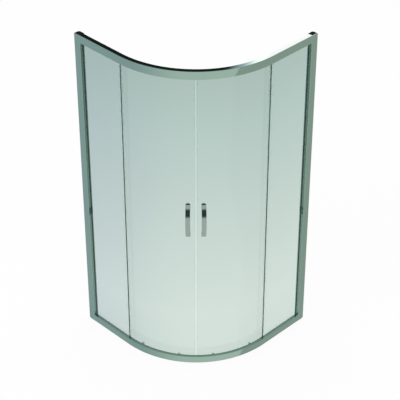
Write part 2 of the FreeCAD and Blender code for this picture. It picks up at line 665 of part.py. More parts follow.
# ================================================================ assembly
def one_side():
    """Every piece of the right-hand side, by name."""
    pieces = {
        "wall_profile": wall_profile(),
        "frame_post": frame_post(),
        "post_cap": post_cap(),
        "fixed_glass": fixed_glass(),
        "glazing_gasket": glazing_gasket(),
        "fixed_edge_seal": fixed_edge_seal(),
        "door_stop": door_stop(),
        "door_glass": door_glass(),
        "closing_seal": closing_seal(),
        "tail_seal": tail_seal(),
        "handle": handle(),
    }
    carriers, nuts, bushes = [], handle_nuts(), handle_washers()
    for place, angle in (("rear", REAR_ANGLE), ("front", FRONT_ANGLE)):
        pieces["top_wheel_" + place] = turn_to(wheel(TOP_WHEEL_RADIUS, TOP_WHEEL_Z), angle)
        pieces["bottom_spindle_" + place] = turn_to(bottom_spindle(), angle)
        pieces["release_knob_" + place] = turn_to(release_knob(), angle)
        pieces["bottom_wheel_" + place] = turn_to(wheel(BOTTOM_WHEEL_RADIUS, BOTTOM_WHEEL_Z), angle)
        carriers.append(turn_to(carrier_arm(), angle))
        nuts.append(turn_to(carrier_cap(), angle))
        bushes += [turn_to(piece, angle) for piece in (bottom_bush(), carrier_pad())]
    pieces["top_carriers"] = Part.makeCompound(carriers)
    pieces["door_nuts"] = Part.makeCompound(nuts)
    pieces["door_bushes"] = Part.makeCompound(bushes)
    return pieces


def enclosure():
    nodes = {"top_rail": top_rail(), "bottom_rail": bottom_rail()}
    for name, shape in one_side().items():
        nodes[name + "_right"] = shape
        nodes[name + "_left"] = mirrored(shape)
    return nodes


os.makedirs("parts", exist_ok=True)
for node, shape in enclosure().items():
    shape.exportStep("parts/" + node + ".step")
    print(node, len(shape.Solids), round(shape.Volume), shape.isValid())
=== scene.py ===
"""Quadrant shower enclosure, dressed for the picture.

Metres, +Z up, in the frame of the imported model.  The lengths below are in millimetres, as on the
drawing, and become metres when a piece is laid down.  Right-hand pieces are drawn in the bend
frame (t, d, z): t along the bend, d behind the outer face of the frame, z above its foot.  The
left-hand side is the same, mirrored in the upright plane through the corner of the two walls.
"""
import math

import bpy
import numpy as np
from mathutils import Matrix


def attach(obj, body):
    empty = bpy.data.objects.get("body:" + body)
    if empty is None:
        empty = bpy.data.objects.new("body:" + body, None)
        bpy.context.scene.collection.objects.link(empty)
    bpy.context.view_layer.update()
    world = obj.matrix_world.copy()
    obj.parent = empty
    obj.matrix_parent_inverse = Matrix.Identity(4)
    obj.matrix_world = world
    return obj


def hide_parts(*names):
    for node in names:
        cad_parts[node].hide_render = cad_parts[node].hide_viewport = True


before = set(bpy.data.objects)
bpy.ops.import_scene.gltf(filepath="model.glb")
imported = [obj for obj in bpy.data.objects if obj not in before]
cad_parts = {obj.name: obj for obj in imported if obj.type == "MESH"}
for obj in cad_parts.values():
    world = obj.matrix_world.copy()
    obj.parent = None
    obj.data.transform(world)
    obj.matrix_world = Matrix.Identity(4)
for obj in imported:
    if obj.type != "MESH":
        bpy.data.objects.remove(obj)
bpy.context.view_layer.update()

# ------------------------------------------------------------ drawing sizes
HALF = 444.0
HEIGHT = 1900.0
BEND_RADIUS = 550.0
STRAIGHT = 338.0
POST_END = 46.0
RAIL_DEPTH, RAIL_SKIN = 27.0, 1.8
TOP_RAIL_HEIGHT, BOTTOM_RAIL_HEIGHT = 46.0, 43.0
GROOVE_FRONT, GROOVE_DEPTH = 14.6, 12.0
REAR_LIP, TRACK_LIP, STIFFENER = 3.0, 2.0, 2.4
DOOR_SETBACK = 40.0
DOOR_THICKNESS = 6.0
DOOR_BACK = DOOR_SETBACK + DOOR_THICKNESS
DOOR_RADIUS = BEND_RADIUS - DOOR_SETBACK - DOOR_THICKNESS / 2
DOOR_TAIL = 30.0
DOOR_BOTTOM, DOOR_TOP = 5.0, 1873.0
GLASS_EDGE = 5.0               # door glass short of the closing line
CLOSING_GAP = 0.3              # each closing seal to the middle plane
SEAL_FRONT, SEAL_BACK = 38.8, 47.2      # faces of the channels on the door glass
SEAL_FOOT, SEAL_TOP = 44.0, 1853.0      # ends of what stands between the rails
REAR_ANGLE, FRONT_ANGLE = 8.0, 34.0
TOP_WHEEL_Z, BOTTOM_WHEEL_Z, SPINDLE_Z, STUD_Z = 1880.1, 19.9, 16.9, 1856.1
TOP_WHEEL_RADIUS, BOTTOM_WHEEL_RADIUS = 12.0, 9.0
WHEEL_FRONT, WHEEL_BACK = 11.5, 16.5
SIDE_PLAY = 0.25
PIN_RADIUS, PIN_BORE = 2.5, 2.55        # axles and handle bolts
STUD_RADIUS, STUD_BORE = 4.0, 4.05      # studs and spindles that pass through the glass
ARM_FRONT, ARM_BACK = 35.5, 39.0
CRANK_FRONT, CRANK_BACK = 35.6, 38.2
WASHER_FRONT = DOOR_SETBACK - 1.0
NUT_SEAT = DOOR_BACK + 0.15
KNOB_SEAT = DOOR_BACK + 1.95
HANDLE_ANGLE = 45.0 - math.degrees(41.0 / DOOR_RADIUS)
HANDLE_Z, STUD_PITCH = 973.0, 190.0
END_EASE = 0.5                 # rounding on the handle's ends and feet
BEND_X, BEND_Y = HALF - BEND_RADIUS, HALF - STRAIGHT
SIDES = ("right", "left")
CREASE = 32.0                  # degrees: a sharper edge than this shades as an edge


# ------------------------------------------------------------ laying pieces down
def stood(points, side, degrees=0.0):
    """(t, d, z) points to metres: (HALF - d, HALF - STRAIGHT - t, z), turned by the given degrees
    round the bend's centre; the left side swaps x and y and turns both signs round."""
    t, d, z = np.moveaxis(np.asarray(points, float), -1, 0)
    x, y = HALF - d - BEND_X, -t
    a = -math.radians(degrees)
    x, y = (BEND_X + x * math.cos(a) - y * math.sin(a), BEND_Y + x * math.sin(a) + y * math.cos(a))
    if side == "left":
        x, y = -y, -x
    return np.stack([x, y, z], -1) / 1000


def wrapped(points, side):
    """(s, d, z) points to metres, with s along the middle of the door glass: straight for s below
    0, and at the angle s / DOOR_RADIUS round the bend from there."""
    s, d, z = np.moveaxis(np.asarray(points, float), -1, 0)
    a = np.maximum(s, 0) / DOOR_RADIUS
    radius = BEND_RADIUS - d
    x = BEND_X + radius * np.cos(a)
    y = BEND_Y - radius * np.sin(a) - np.minimum(s, 0)
    if side == "left":
        x, y = -y, -x
    return np.stack([x, y, z], -1) / 1000


# ------------------------------------------------------------ surfaces
def tube(rings):
    """Faces of a grid of rings (n, m, 3), each ring closed on itself, one polygon over each end."""
    n, m = rings.shape[:2]
    i, j = np.meshgrid(np.arange(n - 1), np.arange(m), indexing="ij")
    k = (j + 1) % m
    quads = np.stack([i * m + j, i * m + k, (i + 1) * m + k, (i + 1) * m + j], -1).reshape(-1, 4)
    faces = [tuple(q) for q in quads.tolist()]
    faces.append(tuple(range(m - 1, -1, -1)))
    faces.append(tuple(range((n - 1) * m, n * m)))
    return rings.reshape(-1, 3), faces


def ring_round(rings):
    """Faces of a grid of rings (n, m, 3) that closes on itself both ways, such as a turned ring."""
    n, m = rings.shape[:2]
    i, j = np.meshgrid(np.arange(n), np.arange(m), indexing="ij")
    a, b = (i + 1) % n, (j + 1) % m
    quads = np.stack([i * m + j, i * m + b, a * m + b, a * m + j], -1).reshape(-1, 4)
    return rings.reshape(-1, 3), [tuple(q) for q in quads.tolist()]


def outward(points, faces):
    """The same shell with its faces turned to point out: the sum of the signed volumes under
    its faces, each fanned from its first corner, is positive."""
    total = 0.0
    by_size = {}
    for face in faces:
        by_size.setdefault(len(face), []).append(face)
    for size, group in by_size.items():
        corners = points[np.array(group)]
        for k in range(1, size - 1):
            total += np.einsum("ij,ij->", corners[:, 0],
                               np.cross(corners[:, k], corners[:, k + 1]))
    return points, faces if total > 0 else [face[::-1] for face in faces]


def piece(name, shells, body, material, nodes=(), along=None):
    """One object from closed shells of (points, faces), smooth up to the crease angle; along
    gives each point a number for materials that follow the section."""
    points, faces, start = [], [], 0
    for shell in shells:
        corners, polygons = outward(*shell)
        points.append(corners)
        faces += [tuple(c + start for c in polygon) for polygon in polygons]
        start += len(corners)
    mesh = bpy.data.meshes.new(name)
    mesh.from_pydata(np.concatenate(points), [], faces)
    mesh.polygons.foreach_set("use_smooth", np.ones(len(faces), bool))
    mesh.set_sharp_from_angle(angle=math.radians(CREASE))
    if along is not None:
        mesh.attributes.new("section", "FLOAT", "POINT").data.foreach_set(
            "value", np.concatenate(along).astype(np.float32))
    mesh.update()
    made = bpy.data.objects.new(name, mesh)
    bpy.context.scene.collection.objects.link(made)
    mesh.materials.append(material)
    made.modifiers.new("flats_shade_flat", "WEIGHTED_NORMAL").keep_sharp = True
    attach(made, body)
    if nodes:
        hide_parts(*nodes)
    return made


def rounded(corners, radii, steps=5):
    """A closed outline with each corner taken off by an arc of its own radius: points on the
    circle that touches both sides, from one tangent point to the other."""
    corners = np.asarray(corners, float)
    out = []
    for i, (corner, radius) in enumerate(zip(corners, np.broadcast_to(radii, len(corners)))):
        before, after = corners[i - 1] - corner, corners[(i + 1) % len(corners)] - corner
        before, after = before / np.linalg.norm(before), after / np.linalg.norm(after)
        half = math.acos(np.clip(before @ after, -1, 1)) / 2
        middle = before + after
        if radius <= 0 or np.linalg.norm(middle) < 1e-6:
            out.append(corner[None])
            continue
        centre = corner + middle / np.linalg.norm(middle) * radius / math.sin(half)
        first = corner + before * radius / math.tan(half) - centre
        last = corner + after * radius / math.tan(half) - centre
        f = np.linspace(0, 1, steps)[:, None]
        sweep = math.pi - 2 * half
        arc = (np.sin((1 - f) * sweep) * first + np.sin(f * sweep) * last) / math.sin(sweep)
        out.append(centre + arc)
    return np.concatenate(out)


def shrunk(outline, amount):
    """The outline moved in by amount, each point along the mean of its two sides' normals, with
    a limit at very sharp corners."""
    ahead = np.roll(outline, -1, 0) - outline
    back = outline - np.roll(outline, 1, 0)
    turn = np.sign(np.sum(outline[:, 0] * ahead[:, 1] - outline[:, 1] * ahead[:, 0]))
    normals = []
    for side in (ahead, back):
        length = np.maximum(np.linalg.norm(side, axis=1, keepdims=True), 1e-9)
        normals.append(np.stack([-side[:, 1], side[:, 0]], -1) / length * turn)
    mean = normals[0] + normals[1]
    sharpest = 0.5
    scale = 2 / np.maximum(np.sum(mean * mean, 1, keepdims=True), sharpest)
    return outline + mean * scale * amount


def plate(outline, d0, d1, edge, steps=4):
    """A plate across the depth: the (t, z) outline at depths d0 to d1, both rims rounded by a
    quarter circle of radius edge."""
    a = np.linspace(0, math.pi / 2, steps)
    inset = np.concatenate([edge * (1 - np.sin(a)), edge * (1 - np.sin(a[::-1]))])
    depth = np.concatenate([d0 + edge * (1 - np.cos(a)), d1 - edge * (1 - np.cos(a[::-1]))])
    rings = []
    for i, d in zip(inset, depth):
        ring = shrunk(outline, i)
        rings.append(np.stack([ring[:, 0], np.full(len(ring), d), ring[:, 1]], -1))
    return np.stack(rings)


def upright(outline, z0, z1, edge=0.0):
    """A column: the (t, d) outline carried from z0 to z1, its ends rounded by edge."""
    a = np.linspace(0, math.pi / 2, 4) if edge else np.array([math.pi / 2])
    inset = np.concatenate([edge * (1 - np.sin(a)), edge * (1 - np.sin(a[::-1]))])
    level = np.concatenate([z0 + edge * (1 - np.cos(a)), z1 - edge * (1 - np.cos(a[::-1]))])
    rings = []
    for i, z in zip(inset, level):
        ring = shrunk(outline, i) if i else outline
        rings.append(np.concatenate([ring, np.full((len(ring), 1), z)], 1))
    return np.stack(rings)


def turned(profile, z, segments=48):
    """A turned shape on an axis across the depth, at t = 0 and height z: each (d, r) point of the
    profile goes round a circle of radius r."""
    profile = np.asarray(profile, float)
    a = np.linspace(0, 2 * math.pi, segments, endpoint=False)
    r = profile[:, 1, None]
    depth = np.broadcast_to(profile[:, 0, None], (len(profile), segments))
    return np.stack([r * np.cos(a), depth, z + r * np.sin(a)], -1)


def knurled(rings, z, count, depth, first, last):
    """The turned rings from first to last with their radius waved count times round."""
    rings = rings.copy()
    offset = rings[first:last] - [0, 0, z]
    a = np.arctan2(offset[..., 2], offset[..., 0])
    scale = 1 - depth * (0.5 - 0.5 * np.cos(a * count))
    offset[..., 0] *= scale
    offset[..., 2] *= scale
    rings[first:last] = offset + [0, 0, z]
    return rings


# ------------------------------------------------------------ shader maths
class Signal:
    """A socket's value; + - * / on it add Math nodes."""

    def __init__(self, recipe, socket):
        self.recipe, self.socket = recipe, socket

    def _math(self, operation, first, second):
        return self.recipe.node("ShaderNodeMath", {"operation": operation}, {0: first, 1: second})

    def __add__(self, other):
        return self._math("ADD", self, other)

    __radd__ = __add__

    def __sub__(self, other):
        return self._math("SUBTRACT", self, other)

    def __mul__(self, other):
        return self._math("MULTIPLY", self, other)

    __rmul__ = __mul__

    def __truediv__(self, other):
        return self._math("DIVIDE", self, other)

    def smooth(self, low, high):
        """0 below low, 1 above high, with a smooth step between them."""
        return self.recipe.node("ShaderNodeMapRange", {"interpolation_type": "SMOOTHSTEP"},
                                {"Value": self, "From Min": low, "From Max": high})

    def larger(self, other):
        return self._math("MAXIMUM", self, other)

    def angle(self, other):
        """The angle whose tangent is this over other."""
        return self._math("ARCTAN2", self, other)


class Recipe:
    """The node tree of one finish, or of the studio."""

    def __init__(self, tree):
        self.tree = tree
        tree.nodes.clear()

    def node(self, kind, settings=None, inputs=None, output=0):
        """One node: its settings first, a ramp's stops among them, then values and links."""
        made = self.tree.nodes.new(kind)
        for key, value in (settings or {}).items():
            if key == "stops":
                elements = made.color_ramp.elements
                while len(elements) < len(value):
                    elements.new(1.0)
                for element, (place, colour) in zip(elements, value):
                    element.position = place
                    element.color = (*colour, 1.0)
            else:
                setattr(made, key, value)
        for key, value in (inputs or {}).items():
            if isinstance(value, Signal):
                self.tree.links.new(value.socket, made.inputs[key])
            else:
                made.inputs[key].default_value = value
        return Signal(self, made.outputs[output]) if len(made.outputs) else None

    def where(self, kind="Object"):
        """Coordinates: Object ones are in metres, and Generated ones the world's direction."""
        return self.node("ShaderNodeTexCoord", output=kind)

    def split(self, vector):
        """x, y and z of a vector."""
        return [self.node("ShaderNodeSeparateXYZ", None, {0: vector}, output=k) for k in range(3)]

    def ray(self, kind):
        """One output of the Light Path: what sort of ray it is, or how often it was mirrored."""
        return self.node("ShaderNodeLightPath", output=kind)

    def vector(self, x, y, z):
        return self.node("ShaderNodeCombineXYZ", None, {0: x, 1: y, 2: z})

    def noise(self, where, scale, detail=3.0, roughness=0.5):
        return self.node("ShaderNodeTexNoise", None, {"Vector": where, "Scale": scale,
                                                      "Detail": detail, "Roughness": roughness})

    def blend(self, share, first, second, how="MIX"):
        """A colour between two colours, or their product."""
        return self.node("ShaderNodeMix", {"data_type": "RGBA", "blend_type": how},
                         {"Factor": share, 6: colour(first), 7: colour(second)}, output=2)

    def bump(self, height, distance, strength):
        return self.node("ShaderNodeBump", None, {"Height": height, "Distance": distance,
                                                  "Strength": strength})


def colour(value):
    return value if isinstance(value, Signal) or len(value) == 4 else (*value, 1.0)


def finish(name):
    """A new finish: its material, its recipe and a surface() that closes it."""
    material = bpy.data.materials.new(name)
    material.use_nodes = True
    recipe = Recipe(material.node_tree)

    def surface(**sockets):
        inputs = {key.replace("_", " "): value for key, value in sockets.items()}
        inputs["Base Color"] = colour(inputs["Base Color"])
        shader = recipe.node("ShaderNodeBsdfPrincipled", None, inputs)
        recipe.node("ShaderNodeOutputMaterial", None, {"Surface": shader})
        return material

    return recipe, surface


def drawn_aluminium(name, streak_from):
    """Polished aluminium extrusion: fine die lines along its length, which streak_from places
    across the section, over slow waves in tone."""
    recipe, surface = finish(name)
    where = recipe.where()
    across = streak_from(recipe, *recipe.split(where))
    lines = recipe.noise(across, scale=900.0, detail=2.0, roughness=0.6)
    slow = recipe.noise(where, scale=3.5, detail=2.0)
    base = recipe.blend(slow.smooth(0.3, 0.7), (0.49, 0.61, 0.56), (0.51, 0.63, 0.58))
    return surface(Base_Color=base, Metallic=1.0, Roughness=0.015 + 0.03 * lines,
                   Normal=recipe.bump(lines, distance=0.00001, strength=0.06))


LINE_DRAW = 0.002              # the lines' noise is drawn out along the length by this


def upright_lines(recipe, x, y, z):
    """Lines up the length of a post."""
    return recipe.vector(x, y, z * LINE_DRAW)


def section_lines(recipe, x, y, z):
    """Lines along a bent rail, placed by the way round its section."""
    section = recipe.node("ShaderNodeAttribute", {"attribute_name": "section"}, output="Fac")
    return recipe.vector(section, 0.0, (x + y) * LINE_DRAW)


# The glass's green tint up its height, with painted shade in it: it darkens towards the top, most
# over the last few centimetres
GLASS_TINT_AND_PAINTED_SHADE = [(0.03, (0.683, 0.788, 0.736)), (0.16, (0.700, 0.793, 0.741)),
              (0.37, (0.620, 0.728, 0.683)), (0.58, (0.552, 0.661, 0.622)),
              (0.79, (0.484, 0.605, 0.570)), (0.96, (0.423, 0.541, 0.501))]


def clear_glass(name, lift, bend=1.5):
    """Toughened clear glass with a green body tint and painted shade over it: darker towards the
    top, and a painted cooler, darker shade round to the left; a trace of dried water in its gloss.
    The tint's stops are shares of the height, lift scales them, and bend is the refractive index."""
    recipe, surface = finish(name)
    where = recipe.where()
    x, y, z = recipe.split(where)
    stops = [(level, tuple(lift * c for c in tint)) for level, tint in GLASS_TINT_AND_PAINTED_SHADE]
    # painted shade: the tint darkens with height
    depth = recipe.node("ShaderNodeValToRGB", {"stops": stops}, {"Fac": z / (HEIGHT / 1000)})
    # painted shade: cooler and darker round to the left
    painted_cool_shade = recipe.blend((x + y).smooth(-1.05, 0.0), (0.865, 0.868, 0.93), (1.0, 1.0, 1.0))
    tint = recipe.blend(1.0, depth, painted_cool_shade, "MULTIPLY")
    film = recipe.noise(where, scale=9.0, detail=4.0, roughness=0.6)
    return surface(Base_Color=tint, Metallic=0.0, Roughness=0.012 * film, IOR=bend,
                   Transmission_Weight=1.0)


def bright_chrome():
    """Chrome plate with the faintest polishing haze."""
    recipe, surface = finish("bright_chrome")
    haze = recipe.noise(recipe.where(), scale=260.0, roughness=0.6)
    base = recipe.blend(haze, (0.47, 0.525, 0.51), (0.50, 0.555, 0.54))
    return surface(Base_Color=base, Metallic=1.0, Roughness=0.01 + 0.03 * haze,
                   Normal=recipe.bump(haze, distance=0.00001, strength=0.15))


def satin_steel():
    """Pressed stainless steel, brushed up and down."""
    recipe, surface = finish("satin_steel")
    x, y, z = recipe.split(recipe.where())
    brushed = 0.03
    grain = recipe.noise(recipe.vector(x, y, z * brushed), scale=2600.0, detail=2.0,
                         roughness=0.6)
    base = recipe.blend(grain, (0.50, 0.52, 0.51), (0.60, 0.62, 0.61))
    return surface(Base_Color=base, Metallic=1.0, Roughness=0.24 + 0.16 * grain,
                   Normal=recipe.bump(grain, distance=0.00002, strength=0.4))


def black_plastic():
    """Moulded black plastic with a fine spark-eroded grain."""
    recipe, surface = finish("black_plastic")
    grain = recipe.noise(recipe.where(), scale=2200.0, detail=2.0, roughness=0.6)
    base = recipe.blend(grain, (0.004, 0.006, 0.005), (0.009, 0.011, 0.010))
    return surface(Base_Color=base, Metallic=0.0, Roughness=0.45 + 0.15 * grain,
                   Specular_IOR_Level=0.06,
                   Normal=recipe.bump(grain, distance=0.00003, strength=0.5))


def soft_vinyl(name, dark, light, roughness, through=0.0, bend=1.45):
    """Soft extruded vinyl: faint draw lines up its length and a skin that is not quite even;
    through is how much light it lets by, and bend its refractive index."""
    recipe, surface = finish(name)
    where = recipe.where()
    x, y, z = recipe.split(where)
    drawn = 0.004
    lines = recipe.noise(recipe.vector(x, y, z * drawn), scale=1500.0, detail=2.0, roughness=0.6)
    slow = recipe.noise(where, scale=22.0)
    base = recipe.blend(0.5 * lines + 0.5 * slow, dark, light)
    return surface(Base_Color=base, Metallic=0.0, Roughness=roughness + 0.15 * lines,
                   Transmission_Weight=through, IOR=bend,
                   Normal=recipe.bump(lines, distance=0.00003, strength=0.4))


def moulded_nylon(name, dark, light, through=0.0, bend=1.5):
    """Moulded nylon, slightly creamy, with a low moulded sheen; small natural mouldings let light
    by, and through is how much."""
    recipe, surface = finish(name)
    cloud = recipe.noise(recipe.where(), scale=60.0)
    base = recipe.blend(cloud, dark, light)
    return surface(Base_Color=base, Metallic=0.0, Roughness=0.32 + 0.12 * cloud,
                   Subsurface_Weight=0.1, Transmission_Weight=through, IOR=bend,
                   Normal=recipe.bump(cloud, distance=0.00005, strength=0.3))


ALUMINIUM = drawn_aluminium("drawn_aluminium_uprights", upright_lines)
RAIL_ALUMINIUM = drawn_aluminium("drawn_aluminium_rails", section_lines)
# The finishes made by clear_glass, the milky seal's too, carry its painted shade; the side panes'
# copy of the same glass is painted a little lighter than the doors'
DOOR_GLASS = clear_glass("clear_door_glass", lift=1.01)
SIDE_GLASS = clear_glass("clear_side_glass", lift=1.045)
CHROME = bright_chrome()
STEEL = satin_steel()
BLACK = black_plastic()
DARK_SEAL = soft_vinyl("grey_edge_seal", dark=(0.115, 0.145, 0.135),
                       light=(0.145, 0.180, 0.168), roughness=0.35)
MILKY_SEAL = clear_glass("milky_closing_seal", lift=1.07, bend=1.06)
CLEAR_SEAL = soft_vinyl("clear_edge_seal", dark=(0.95, 0.98, 0.965), light=(0.98, 1.0, 0.99),
                        roughness=0.05, through=1.0, bend=1.03)
GASKET = soft_vinyl("glazing_vinyl", dark=(0.120, 0.150, 0.140), light=(0.160, 0.190, 0.178),
                    roughness=0.45)
NYLON = moulded_nylon("white_nylon", dark=(0.74, 0.74, 0.70), light=(0.82, 0.82, 0.79))
THIN_NYLON = moulded_nylon("natural_nylon", dark=(0.86, 0.88, 0.86), light=(0.92, 0.94, 0.92),
                           through=0.92, bend=1.07)


# ------------------------------------------------------------ rails
CROWN = 0.2                    # the rails' faces are drawn in by this at their edges
BEND_STEPS = 97
LEAD = 4.0                     # first ring of the straights past the bend


def rail_outline(height, flip, base):
    """(d, z) outline of a rail with its corners eased and its face crowned: the face lies behind
    its middle by the square of the distance from there."""
    back, inner, fold = RAIL_DEPTH, RAIL_DEPTH - RAIL_SKIN, RAIL_SKIN + STIFFENER
    web = height - GROOVE_DEPTH
    ledge = web - RAIL_SKIN
    face = [(CROWN * f * f, height * (1 + f) / 2) for f in (-1, -0.5, 0, 0.5, 1)]
    corners = [(inner, RAIL_SKIN), (inner, fold), (back, fold), (back, 0), *face,
               (GROOVE_FRONT, height), (GROOVE_FRONT, web), (inner, web),
               (inner, web + REAR_LIP), (back, web + REAR_LIP), (back, ledge - TRACK_LIP),
               (inner, ledge - TRACK_LIP), (inner, ledge), (RAIL_SKIN, ledge),
               (RAIL_SKIN, RAIL_SKIN)]
    radii = [0.3, 0.3, 0.4, 0.15, 1.1, 0, 0, 0, 1.1, 0.5,
             0.3, 0.3, 0.4, 0.4, 0.4, 0.3, 0.3, 0.4, 0.4]
    outline = rounded(corners, radii, 6)
    return np.stack([outline[:, 0], base + flip * outline[:, 1]], -1)


def rail(name, height, flip, base):
    """A bent length: the outline carried down the right side, round a quarter circle and along
    the left side.  At angle a a point is C + (R - d)(cos a, -sin a), pushed along the straight."""
    outline = rail_outline(height, flip, base)
    bend = np.radians(np.linspace(0, 90, BEND_STEPS))
    angles = np.concatenate([[0, 0], bend, [math.pi / 2] * 2])
    run = STRAIGHT - POST_END
    push = np.concatenate([[run, LEAD], np.zeros(BEND_STEPS), [LEAD, run]])
    radius = BEND_RADIUS - outline[:, 0]
    x = BEND_X + np.outer(np.cos(angles), radius)
    y = BEND_Y - np.outer(np.sin(angles), radius)
    y[:2] += push[:2, None]
    x[-2:] -= push[-2:, None]
    rings = np.stack([x, y, np.broadcast_to(outline[:, 1], x.shape)], -1) / 1000
    steps = np.linalg.norm(np.diff(outline, axis=0, append=outline[:1]), axis=1)
    section = np.concatenate([[0], np.cumsum(steps)[:-1]]) / 1000
    return piece(name + "_extrusion", [tube(rings)], "frame", RAIL_ALUMINIUM,
                 (name,), along=[np.tile(section, len(angles))])


rail("top_rail", TOP_RAIL_HEIGHT, flip=-1, base=HEIGHT)
rail("bottom_rail", BOTTOM_RAIL_HEIGHT, flip=1, base=0.0)


# ------------------------------------------------------------ door glass
def drilled_sheet(columns, rows, holes):
    """A flat sheet of quads in (s, z) with round holes: the lines of columns and rows cut it into
    tiles, and a holed tile is a mix of its square edge and the hole's circle, closer steps
    towards the edge."""
    rings, crowding = 5, 0.7
    points, quads, start = [], [], 0
    for i, (s0, s1, across) in enumerate(columns):
        for j, (z0, z1, up) in enumerate(rows):
            radius = holes.get((i, j))
            if radius is None:
                s, z = np.meshgrid(np.linspace(s0, s1, across + 1), np.linspace(z0, z1, up + 1),
                                   indexing="ij")
                grid, around = np.stack([s, z], -1), False
            else:
                f = np.linspace(-1, 1, across + 1)[:-1]
                one = np.ones(across)
                square = np.concatenate([np.stack(c, -1) for c in
                                         ((f, -one), (one, f), (-f, one), (-one, -f))])
                centre = np.array([(s0 + s1) / 2, (z0 + z1) / 2])
                circle = square / np.linalg.norm(square, axis=1, keepdims=True) * radius
                square = square * (s1 - s0) / 2
                mix = np.linspace(0, 1, rings)[:, None, None] ** crowding
                grid, around = centre + circle * (1 - mix) + square * mix, True
                grid = grid.transpose(1, 0, 2)
            n, m = grid.shape[:2]
            a, b = np.meshgrid(np.arange(n if around else n - 1), np.arange(m - 1), indexing="ij")
            a1 = (a + 1) % n
            tile = np.stack([a * m + b, a1 * m + b, a1 * m + b + 1, a * m + b + 1], -1)
            tile = tile.reshape(-1, 4)
            flat = grid.reshape(-1, 2)
            e1, e2 = flat[tile[0, 1]] - flat[tile[0, 0]], flat[tile[0, 3]] - flat[tile[0, 0]]
            if e1[0] * e2[1] - e1[1] * e2[0] < 0:
                tile = tile[:, ::-1]
            points.append(flat)
            quads.append(tile + start)
            start += len(flat)
    points, quads = np.concatenate(points), np.concatenate(quads)
    kept, index = np.unique(np.round(points, 3), axis=0, return_inverse=True)
    return kept, index.reshape(-1)[quads]


def thick_sheet(points, quads, front, back, arris):
    """Both faces of a flat sheet and the walls on its free edges, each rim taken off by arris:
    on the wall a rim point is moved out by arris along the mean normal of its two edges."""
    edges = np.concatenate([quads[:, [k, (k + 1) % 4]] for k in range(4)])
    first, count = np.unique(np.sort(edges, 1), axis=0, return_index=True, return_counts=True)[1:]
    rim = edges[first[count == 1]]
    step = points[rim[:, 1]] - points[rim[:, 0]]
    normal = np.stack([step[:, 1], -step[:, 0]], -1)
    normal /= np.linalg.norm(normal, axis=1, keepdims=True)
    mean = np.zeros_like(points)
    np.add.at(mean, rim[:, 0], normal)
    np.add.at(mean, rim[:, 1], normal)
    out = points + mean * 2 / np.maximum(np.sum(mean * mean, 1, keepdims=True), 1e-9) * arris
    n = len(points)
    levels = [(points, front), (out, front + arris), (out, back - arris), (points, back)]
    solid = np.concatenate([np.stack([p[:, 0], np.full(n, d), p[:, 1]], -1) for p, d in levels])
    faces = [quads, quads[:, ::-1] + 3 * n]
    i, j = rim.T
    for k in range(3):
        faces.append(np.stack([j + k * n, i + k * n, i + (k + 1) * n, j + (k + 1) * n], -1))
    faces = np.concatenate(faces)
    used, index = np.unique(faces, return_inverse=True)
    return solid[used], [tuple(f) for f in index.reshape(faces.shape).tolist()]


def door_glass(side):
    """Curved pane with its straight tail and its six holes, two each for bushes, studs and the
    handle's bolts; half is half the side of a holed tile."""
    arris, half = 0.5, 11.4
    bush, stud, bolt = 6.6, 6.0, 4.5
    rear, front = (math.radians(a) * DOOR_RADIUS for a in (REAR_ANGLE, FRONT_ANGLE))
    grip = math.radians(HANDLE_ANGLE) * DOOR_RADIUS
    end = math.radians(45) * DOOR_RADIUS - GLASS_EDGE - arris
    lines = [arris - DOOR_TAIL, 0, rear - half, rear + half, front - half, front + half,
             grip - half, grip + half, end]
    columns = list(zip(lines, lines[1:], (4, 8, 8, 28, 8, 5, 8, 4)))
    low, high = HANDLE_Z - STUD_PITCH / 2, HANDLE_Z + STUD_PITCH / 2
    lines = [DOOR_BOTTOM + arris, SPINDLE_Z + half, low - half, low + half, high - half,
             high + half, STUD_Z - half, STUD_Z + half, DOOR_TOP - arris]
    rows = list(zip(lines, lines[1:], (8, 8, 8, 3, 8, 8, 8, 1)))
    holes = {(2, 0): bush, (4, 0): bush, (2, 6): stud, (4, 6): stud, (6, 2): bolt, (6, 4): bolt}
    shell, faces = thick_sheet(*drilled_sheet(columns, rows, holes), DOOR_SETBACK, DOOR_BACK,
                               arris)
    piece("curved_pane_" + side, [(wrapped(shell, side), faces)], "door_" + side, DOOR_GLASS,
          ("door_glass_" + side,))


# ------------------------------------------------------------ seals
def closing_seal(side):
    """Milky round-nosed strip over the magnet, and the two clear lips that hold the glass."""
    nose = rounded([(-GLASS_EDGE, SEAL_FRONT), (-CLOSING_GAP, SEAL_FRONT),
                    (-CLOSING_GAP, SEAL_BACK), (-GLASS_EDGE, SEAL_BACK)], [0.1, 1.2, 1.2, 0.1])
    reach, thick = 9.0, 1.1
    lips = [rounded([(-reach, d), (-GLASS_EDGE, d), (-GLASS_EDGE, d + thick), (-reach, d + thick)],
                    [0.4, 0, 0, 0.4]) for d in (SEAL_FRONT, SEAL_BACK - thick)]
    for name, shells, material in (("magnetic_strip_", [nose], MILKY_SEAL),
                                   ("strip_lips_", lips, CLEAR_SEAL)):
        shells = [tube(stood(upright(o, DOOR_BOTTOM, DOOR_TOP), side, 45.0)) for o in shells]
        piece(name + side, shells, "door_" + side, material,
              ("closing_seal_" + side,))


